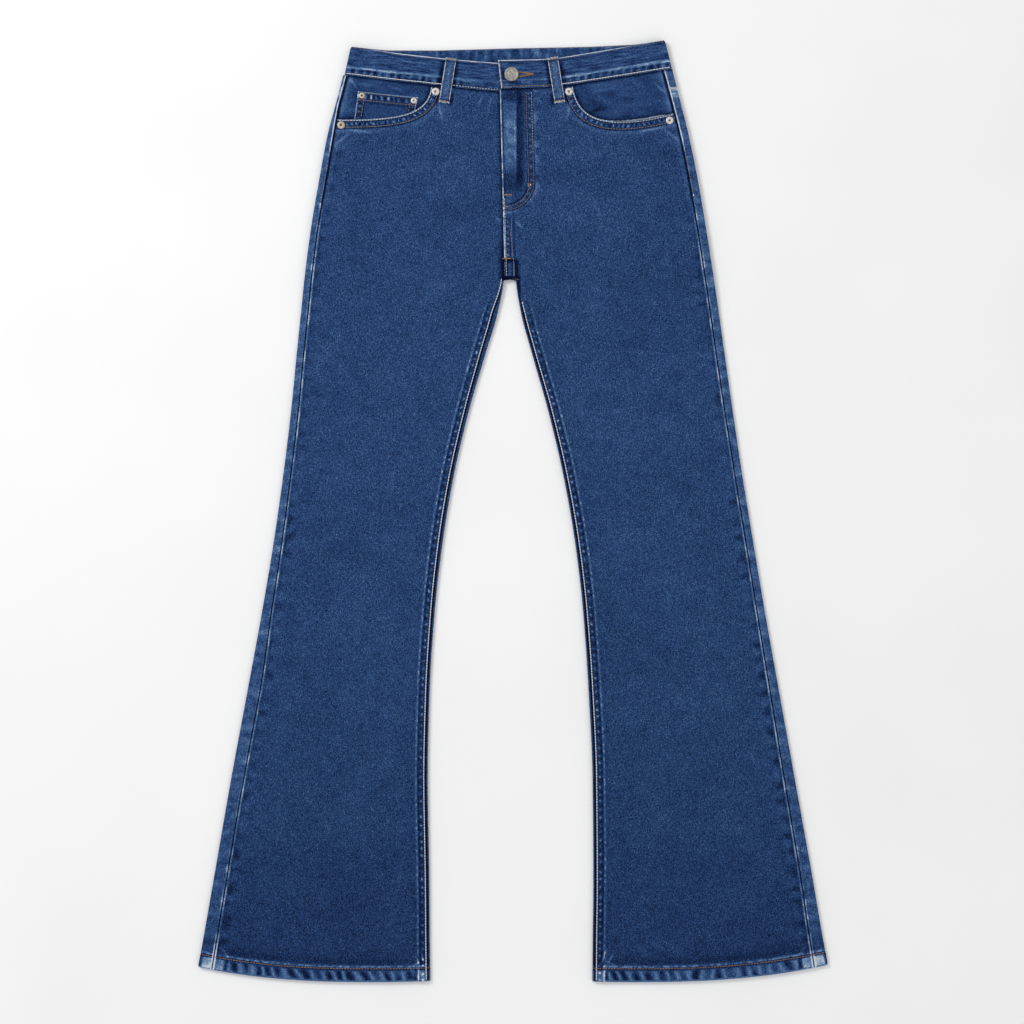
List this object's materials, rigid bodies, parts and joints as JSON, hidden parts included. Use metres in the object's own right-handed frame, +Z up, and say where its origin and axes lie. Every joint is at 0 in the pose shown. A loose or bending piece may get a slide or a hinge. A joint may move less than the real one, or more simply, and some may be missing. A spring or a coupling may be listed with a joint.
{
  "type": "flared five-pocket denim jeans, laid flat",
  "caption": "Full-length flared denim jeans laid flat on their back, buttoned, with hip pockets, a coin pocket, seat pockets, yoke, fly and belt loops.",
  "frame": {"origin": "on the surface that the jeans lie on, under the middle of the garment's outline", "axes": "+Y from hem to waist, +X towards the wearer's left, +Z up out of the front of the jeans"},
  "size_m": [0.7548, 1.1285, 0.0117],
  "materials": {
    "denim": "mid-blue washed cotton twill, matte",
    "thread": "tan and copper cotton topstitching, matte",
    "zip": "closed zip on navy tape",
    "metal": "aged silver plating on brass"
  },
  "bodies": {
    "root": {"front_right": "denim", "front_left": "denim", "back_right": "denim", "back_left": "denim", "yoke_right": "denim", "yoke_left": "denim", "waistband": "denim", "pocket_facing_right": "denim", "pocket_facing_left": "denim", "coin_pocket": "denim", "fly_facing": "denim", "loop_front_right": "denim", "loop_front_left": "denim", "loop_back_right": "denim", "loop_back_centre": "denim", "loop_back_left": "denim", "back_pocket_right": "denim", "back_pocket_left": "denim", "fly_zip": "zip", "button": "metal", "rivet_right_inner": "metal", "rivet_right_outer": "metal", "rivet_left_inner": "metal", "rivet_left_outer": "metal", "rivet_coin_outer": "metal", "rivet_coin_inner": "metal"}
  },
  "joints": []
}
